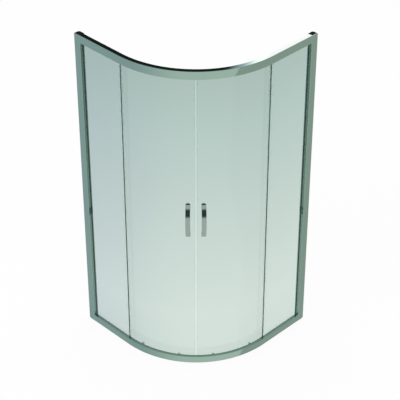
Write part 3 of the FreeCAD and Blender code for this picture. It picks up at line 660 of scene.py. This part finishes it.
def edge_seal(side):
    """Clear channel on the free edge of the fixed pane, with a dark strip in its nose that draws
    the dark upright line along the pane's edge, and a clear fin that leans back to the door."""
    channel = rounded([(-13, 15.8), (-6, 15.8), (-6, 24.2), (-13, 24.2), (-13, 23.05),
                       (-8.05, 23.05), (-8.05, 16.95), (-13, 16.95)],
                      [0.4, 0.7, 0.7, 0.4, 0.3, 0.1, 0.1, 0.3])
    fin = rounded([(-6.0, 23.4), (-4.0, 30.6), (-5.2, 30.6), (-7.2, 23.4)], [0.2, 0.5, 0.5, 0.2])
    core = rounded([(-7.4, 17.9), (-6.4, 17.9), (-6.4, 22.1), (-7.4, 22.1)], 0.35)
    for name, shells, material, slot in (
            ("clear_edge_channel_", [(channel, SEAL_TOP), (fin, SEAL_TOP - 10)], CLEAR_SEAL,
             "clear_seal"),
            ("dark_seal_core_", [(core, SEAL_TOP - 1)], DARK_SEAL, "grey_gasket")):
        shells = [tube(stood(upright(o, SEAL_FOOT, top, 0.2), side)) for o, top in shells]
        piece(name + side, shells, "frame", material, ("fixed_edge_seal_" + side,))


def tail_seal(side):
    """Clear channel on the door's tail, and its fin, which leans out to the fixed pane."""
    channel = rounded([(-22, SEAL_FRONT), (-22, 39.95), (-DOOR_TAIL, 39.95),
                       (-DOOR_TAIL, 46.05), (-22, 46.05), (-22, SEAL_BACK), (-31.2, SEAL_BACK),
                       (-31.2, SEAL_FRONT)], [0.4, 0.4, 0.1, 0.1, 0.4, 0.4, 0.6, 0.6])
    fin = rounded([(-31.2, SEAL_FRONT), (-32.4, 23.6), (-31.2, 23.6), (-DOOR_TAIL, SEAL_FRONT)],
                  [0.1, 0.45, 0.45, 0.1])
    shells = [tube(stood(upright(channel, DOOR_BOTTOM, DOOR_TOP), side)),
              tube(stood(upright(fin, SEAL_FOOT, SEAL_TOP), side))]
    piece("tail_strip_" + side, shells, "door_" + side, CLEAR_SEAL,
          ("tail_seal_" + side,))


# ------------------------------------------------------------ handles
def handle(side):
    """Flat bar bowed on a circle: the level section is carried up the arc and drawn in at its
    ends; two square feet reach the washers on the glass, with a bolt in each."""
    rise, half, thick, wide, standoff = 21.0, 104.0, 5.0, 25.0, 34.0
    outer = (half ** 2 + rise ** 2) / (2 * rise)
    tip, last, count = math.asin(half / outer), 0.05, 61
    section = rounded([(-wide / 2, -thick / 2), (wide / 2, -thick / 2), (wide / 2, thick / 2),
                       (-wide / 2, thick / 2)], 0.9, 7)
    ease = np.radians([0, 30, 60, 90])
    inset = END_EASE * (1 - np.sin(ease))
    reach = END_EASE / outer * (1 - np.cos(ease))
    angles = np.concatenate([reach - tip, np.linspace(last - tip, tip - last, count),
                             (tip - reach)[::-1]])
    inset = np.concatenate([inset, np.zeros(count), inset[::-1]])
    rings = []
    for a, i in zip(angles, inset):
        ring = shrunk(section, i) if i else section
        bow = DOOR_SETBACK - standoff + outer * (1 - math.cos(a)) + thick / 2
        rings.append(np.stack([ring[:, 0], bow - ring[:, 1],
                               np.full(len(ring), HANDLE_Z + outer * math.sin(a))], -1))
    shells = [np.stack(rings)]
    broad, to_middle, to_tip, front = 12.2, 9.0, 8.8, 28.5
    for end in (-1, 1):
        z = HANDLE_Z + end * STUD_PITCH / 2
        low, high = sorted((z - to_middle * end, z + to_tip * end))
        foot = rounded([(-broad, low), (broad, low), (broad, high), (-broad, high)], 0.5)
        shells.append(plate(foot, front, WASHER_FRONT, END_EASE))
        bolt = [(WASHER_FRONT, PIN_RADIUS), (NUT_SEAT, PIN_RADIUS)]
        shells.append(turned(bolt, z, segments=24))
    piece("bow_handle_" + side, [tube(stood(s, side, HANDLE_ANGLE)) for s in shells],
          "door_" + side, CHROME, ("handle_" + side,))


def domed(radius, height, z):
    """A domed nut: a short cylinder, then a quarter of an ellipse up to its small flat."""
    d, edge, wall = NUT_SEAT, 0.3, height * 0.35
    a = np.radians(np.linspace(0, 84, 12))
    dome = np.stack([d + wall + (height - wall) * np.sin(a), radius * np.cos(a)], -1)
    return turned(np.concatenate([[(d, radius - edge), (d + edge, radius)], dome]), z)


def washer(bore, radius, z):
    """A flat ring on the glass with eased rims, closed round its bore."""
    d0, d1, edge = WASHER_FRONT, DOOR_SETBACK, 0.2
    return turned([(d0, bore), (d0, radius - edge), (d0 + edge, radius), (d1 - edge, radius),
                   (d1, radius - edge), (d1, bore)], z)


def bush():
    """A spindle's bush with a flange on each face of the glass, closed round its bore."""
    body, flange, thick, edge = 6.4, 7.3, 1.5, 0.3
    d0, d1 = DOOR_SETBACK - thick, NUT_SEAT + thick
    return turned([(d0, STUD_BORE), (d0, flange - edge), (d0 + edge, flange),
                   (DOOR_SETBACK, flange), (DOOR_SETBACK, body), (NUT_SEAT, body),
                   (NUT_SEAT, flange), (d1 - edge, flange), (d1, flange - edge),
                   (d1, STUD_BORE)], SPINDLE_Z)


# ------------------------------------------------------------ rollers
def axle(z, end):
    """Hexagon head, running pin and a round spacer back to what carries it."""
    corner, thick, edge = 4.62, 1.3, 0.3
    front, back = WHEEL_FRONT - SIDE_PLAY, WHEEL_BACK + SIDE_PLAY
    angles = np.radians(60.0 * np.arange(6))
    hexagon = np.stack([corner * np.sin(angles), z + corner * np.cos(angles)], -1)
    head = plate(rounded(hexagon, edge, 3), front - thick, front, 0.25)
    body = [(front, PIN_RADIUS), (back, PIN_RADIUS), (back, STUD_RADIUS - edge),
            (back + edge, STUD_RADIUS), (end - 0.1, STUD_RADIUS), (end, STUD_RADIUS)]
    return [head, turned(body, z)]


def wheel(radius, z):
    """Crowned rim, dished sides and a hub: one closed loop turned about the axle.  The crown
    falls away by the square of the distance from the middle."""
    hub, web, rim, shoulder = 4.6, 5.1, radius - 2.3, radius - 0.6
    dish, slope, edge, fall = 0.7, 0.5, 0.4, 0.16
    d0, d1 = WHEEL_FRONT, WHEEL_BACK
    crown = np.stack([np.linspace(d0 + edge, d1 - edge, 9),
                      radius - fall * np.linspace(-1, 1, 9) ** 2], -1)
    loop = [(d0, PIN_BORE), (d0, hub), (d0 + dish, web), (d0 + dish, rim - slope), (d0, rim),
            (d0, shoulder), *crown.tolist(), (d1, shoulder), (d1, rim),
            (d1 - dish, rim - slope), (d1 - dish, web), (d1, hub), (d1, PIN_BORE)]
    return turned(loop, z, segments=64)


def roller_arm():
    """Pressed arm, wider at its foot, that hangs the door from its top wheel."""
    foot, neck, top = 11.0, 7.0, TOP_WHEEL_Z
    z0, z1 = STUD_Z - foot, STUD_Z + foot
    corners = [(-neck, top + neck), (neck, top + neck), (neck, top), (foot, z1), (foot, z0),
               (-foot, z0), (-foot, z1), (-neck, top)]
    outline = rounded(corners, [6.5, 6.5, 9, 9, 7, 7, 9, 9], 8)
    return plate(outline, ARM_FRONT, ARM_BACK, 0.5)


def crank():
    """Rounded plate that joins the spindle to its eccentric axle."""
    half = 7.5
    z0, z1 = SPINDLE_Z - half, BOTTOM_WHEEL_Z + 4.2
    outline = rounded([(-half, z0), (half, z0), (half, z1), (-half, z1)], 6.5, 8)
    return plate(outline, CRANK_FRONT, CRANK_BACK, 0.4)


def knob():
    """Knurled disc with a rounded finger grip across it."""
    d, z = KNOB_SEAT, SPINDLE_Z
    profile = [(d, 8.4), (d + 0.3, 8.9), (d + 0.5, 8.95), (d + 2.5, 8.95), (d + 2.7, 8.9),
               (d + 3.0, 8.4)]
    disc = knurled(turned(profile, z, segments=144), z, count=24, depth=0.05, first=1, last=5)
    half, reach = 2.0, 7.0
    grip = rounded([(-half, z - reach), (half, z - reach), (half, z + reach),
                    (-half, z + reach)], 1.9, 8)
    return [disc, plate(grip, d + 2.5, d + 8.9, 1.2, 5)]


def rollers(side):
    """Everything that rolls or clamps on one door: arms, wheels, spindles, knobs, domed nuts,
    washers and bushes."""
    arms, caps, pads = [], [], []
    door = "door_" + side
    for z in (HANDLE_Z - STUD_PITCH / 2, HANDLE_Z + STUD_PITCH / 2):
        nut, pad = domed(radius=7.5, height=6.0, z=z), washer(PIN_BORE, radius=7.0, z=z)
        caps.append(tube(stood(nut, side, HANDLE_ANGLE)))
        pads.append(ring_round(stood(pad, side, HANDLE_ANGLE)))
    for place, angle in (("rear", REAR_ANGLE), ("front", FRONT_ANGLE)):
        shells = [roller_arm(), *axle(TOP_WHEEL_Z, ARM_FRONT),
                  turned([(ARM_BACK - 0.1, STUD_RADIUS), (NUT_SEAT, STUD_RADIUS)], STUD_Z)]
        arms += [tube(stood(s, side, angle)) for s in shells]
        nut = domed(radius=11.0, height=8.0, z=STUD_Z)
        caps.append(tube(stood(nut, side, angle)))
        for pad in (washer(STUD_BORE, radius=11.0, z=STUD_Z), bush()):
            pads.append(ring_round(stood(pad, side, angle)))
        tag = place + "_" + side
        for name, node, radius, z in (
                ("hanger_wheel_", "top_wheel_", TOP_WHEEL_RADIUS, TOP_WHEEL_Z),
                ("guide_wheel_", "bottom_wheel_", BOTTOM_WHEEL_RADIUS, BOTTOM_WHEEL_Z)):
            piece(name + tag, [ring_round(stood(wheel(radius, z), side, angle))], node + tag,
                  NYLON, (node + tag,))
        shells = [crank(), *axle(BOTTOM_WHEEL_Z, CRANK_FRONT),
                  turned([(CRANK_BACK - 0.1, STUD_RADIUS), (KNOB_SEAT, STUD_RADIUS)], SPINDLE_Z)]
        piece("eccentric_spindle_" + tag, [tube(stood(s, side, angle)) for s in shells],
              "release_" + tag, STEEL, ("bottom_spindle_" + tag,))
        piece("finger_knob_" + tag, [tube(stood(s, side, angle)) for s in knob()],
              "release_" + tag, THIN_NYLON, ("release_knob_" + tag,))
    piece("roller_arms_" + side, arms, door, STEEL, ("top_carriers_" + side,))
    piece("domed_nuts_" + side, caps, door, CHROME, ("door_nuts_" + side,))
    piece("soft_washers_and_bushes_" + side, pads, door, THIN_NYLON,
          ("door_bushes_" + side,))


# ------------------------------------------------------------ small screws
def clamp_screws(side):
    """Pan heads on the post's back: height over a polar grid, a dome less a cross whose arms
    fade at their sides and end short of the rim."""
    post_back, from_wall, sunk = 32.0, 19.0, 0.1
    rim, flat, height, fullness = 3.6, 3.75, 2.2, 2.6
    slot, reach, depth = 0.62, 2.2, 1.1
    r, a = np.meshgrid(np.linspace(0.05, rim, 26), np.linspace(0, 2 * math.pi, 72, endpoint=False),
                       indexing="ij")
    dome = height * np.sqrt(np.clip(1 - (r / flat) ** fullness, 0, 1))
    u, v = r * np.cos(a), r * np.sin(a)
    arm = np.minimum(np.abs(u), np.abs(v))
    cross = np.clip((slot - arm) / 0.2, 0, 1) * np.clip((reach - r) / 0.5, 0, 1)
    shells = []
    for z in (120.0, 950.0, 1780.0):
        top = np.stack([from_wall - STRAIGHT + u, post_back + dome - depth * cross, z + v], -1)
        foot = top[-1:].copy()
        foot[..., 1] = post_back - sunk
        shells.append(tube(stood(np.concatenate([top, foot]), side)))
    piece("clamp_screws_" + side, shells, "frame", STEEL)


for side in SIDES:
    door_glass(side)
    closing_seal(side)
    edge_seal(side)
    tail_seal(side)
    handle(side)
    rollers(side)
    clamp_screws(side)

CARRIED_OVER = {"frame_post": ALUMINIUM, "wall_profile": ALUMINIUM, "post_cap": BLACK,
                "fixed_glass": SIDE_GLASS, "glazing_gasket": GASKET, "door_stop": BLACK}
for node, material in CARRIED_OVER.items():
    for side in SIDES:
        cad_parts[node + "_" + side].material_slots[0].material = material


# ------------------------------------------------------------ floor, studio and camera
# The boards that polished metal mirrors; LOW_BOARD stands for the floor as metal sees it.
LOW_BOARD = (0.44, 0.52, 0.48)
LOW_LEFT, LOW_RIGHT = (0.385, 0.475, 0.490), (0.615, 0.700, 0.642)
PAST_SEAM = (0.408, 0.460, 0.415)
DARK_BAND, PALE_STRIP = (0.045, 0.070, 0.062), (0.62, 0.66, 0.62)
FAR_BLACK, FAR_GREY = (0.012, 0.02, 0.018), (0.45, 0.53, 0.60)
FAR_WHITE, FAR_PALE = (2.0, 2.0, 2.0), (1.76, 1.49, 1.59)
CEILING, NEAR_GREY = (0.36, 0.44, 0.41), (0.40, 0.47, 0.44)


def pale_floor():
    """White floor: it shows as the white background to the eye and through glass, and keeps a
    twelfth of its own light, so that the enclosure's shadow stays.  Past a mirror it shows as
    the low board."""
    size, level, glow = 30.0, -0.0006, 0.92
    mesh = bpy.data.meshes.new("floor")
    mesh.from_pydata([(-size, -size, level), (size, -size, level), (size, size, level),
                      (-size, size, level)], [], [(0, 1, 2, 3)])
    floor = bpy.data.objects.new("floor", mesh)
    bpy.context.scene.collection.objects.link(floor)
    material = bpy.data.materials.new("floor_white")
    material.use_nodes = True
    recipe = Recipe(material.node_tree)
    seen, through = recipe.ray("Is Camera Ray"), recipe.ray("Is Transmission Ray")
    diffuse = recipe.node("ShaderNodeBsdfDiffuse", None, {"Color": (0.98, 0.98, 0.98, 1)})
    shown = recipe.blend(recipe.ray("Glossy Depth"), (1.0, 1.0, 1.0), LOW_BOARD)
    white = recipe.node("ShaderNodeEmission", None, {"Color": shown, "Strength": 1.0})
    share = seen.larger(through) * glow
    both = recipe.node("ShaderNodeMixShader", None, {0: share, 1: diffuse, 2: white})
    recipe.node("ShaderNodeOutputMaterial", None, {"Surface": both})
    mesh.materials.append(material)
    floor.visible_glossy = False


def studio():
    """White room for the eye, for glass and for soft light.  Polished metal mirrors a studio that
    goes by direction: grey-green boards below, one darker past a seam on the right, a dark band
    at the horizon and a pale strip over it.  Above that the far side is black on its left and
    fades through grey to white on its right, and the near side and the ceiling are grey."""
    world = bpy.data.worlds.new("studio")
    bpy.context.scene.world = world
    world.use_nodes = True
    recipe = Recipe(world.node_tree)
    x, y, z = recipe.split(recipe.where("Generated"))
    diagonal = 0.7071
    near, right = (x - y) * diagonal, (x + y) * diagonal
    round_near = right.angle(near)
    round_far = right.angle(near * -1.0)
    seam_level, seam_lean, seam_step = 0.506, 1.3, 0.40
    seam = (round_near - (z + seam_level) * seam_lean
            - (z * -1.0).smooth(0.56, 0.61) * seam_step)
    low = recipe.blend(round_near.smooth(-1.35, -0.15), LOW_LEFT, LOW_RIGHT)
    low = recipe.blend(seam.smooth(0.765, 0.825), low, PAST_SEAM)
    high = recipe.blend(round_far.smooth(0.020, 0.033), FAR_BLACK, FAR_GREY)
    high = recipe.blend(round_far.smooth(0.031, 0.050), high, FAR_WHITE)
    high = recipe.blend(round_far.smooth(0.046, 0.056), high, FAR_PALE)
    high = recipe.blend(z.smooth(0.605, 0.635), high, CEILING)
    high = recipe.blend(near.smooth(-0.3, 0.1), high, NEAR_GREY)
    band = recipe.blend(z.smooth(-0.07, 0.05), DARK_BAND, PALE_STRIP)
    band = recipe.blend(z.smooth(0.39, 0.43), band, high)
    mirror = recipe.blend(z.smooth(-0.43, -0.29), low, band)
    seen, through = recipe.ray("Is Camera Ray"), recipe.ray("Is Transmission Ray")
    plain = recipe.blend(seen.larger(through), (0.85, 0.85, 0.85), (1.0, 1.0, 1.0))
    shown = recipe.blend(recipe.ray("Glossy Depth"), plain, mirror)
    light = recipe.node("ShaderNodeBackground", None, {"Color": shown, "Strength": 1.0})
    recipe.node("ShaderNodeOutputWorld", None, {"Surface": light})


def soft_box(name, place, size, energy):
    """One large soft lamp, turned to the enclosure's middle."""
    lamp = bpy.data.lights.new(name, "AREA")
    lamp.shape, lamp.size, lamp.energy = "DISK", size, energy
    made = bpy.data.objects.new(name, lamp)
    made.location = place
    middle = np.array([0, 0, 0.9])
    aim = middle - place
    made.rotation_euler = (math.acos(-aim[2] / np.linalg.norm(aim)), 0,
                           math.atan2(aim[1], aim[0]) - math.pi / 2)
    made.visible_glossy = False
    made.visible_camera = False
    made.visible_transmission = False
    bpy.context.scene.collection.objects.link(made)


def camera():
    """The photograph's viewpoint: a long lens, 35.3 degrees down on the curved entry."""
    tilt, pan, roll = np.radians([35.33, -0.054, 0.023])
    focal, sensor, farthest = 130.88, 36.0, 100.0
    place = (4.6783, -4.6395, 5.516)
    across, toward, up = np.array([[1, 1, 0], [1, -1, 0], [0, 0, 2 ** 0.5]]) / 2 ** 0.5
    ahead = (math.sin(pan) * math.cos(tilt) * across - math.cos(pan) * math.cos(tilt) * toward
             - math.sin(tilt) * up)
    right = np.cross(ahead, up)
    right /= np.linalg.norm(right)
    right = math.cos(roll) * right + math.sin(roll) * np.cross(right, ahead)
    lens = bpy.data.cameras.new("camera")
    lens.lens, lens.sensor_width, lens.clip_end = focal, sensor, farthest
    made = bpy.data.objects.new("camera", lens)
    turn = np.eye(4)
    turn[:3, :3] = np.stack([right, np.cross(right, ahead), -ahead], -1)
    turn[:3, 3] = place
    made.matrix_world = Matrix(turn.tolist())
    bpy.context.scene.collection.objects.link(made)
    bpy.context.scene.camera = made


pale_floor()
studio()
soft_box("key_softbox", place=np.array([-1.0, -4.5, 4.5]), size=3.0, energy=60.0)
camera()
bpy.context.scene.view_settings.view_transform = "Standard"
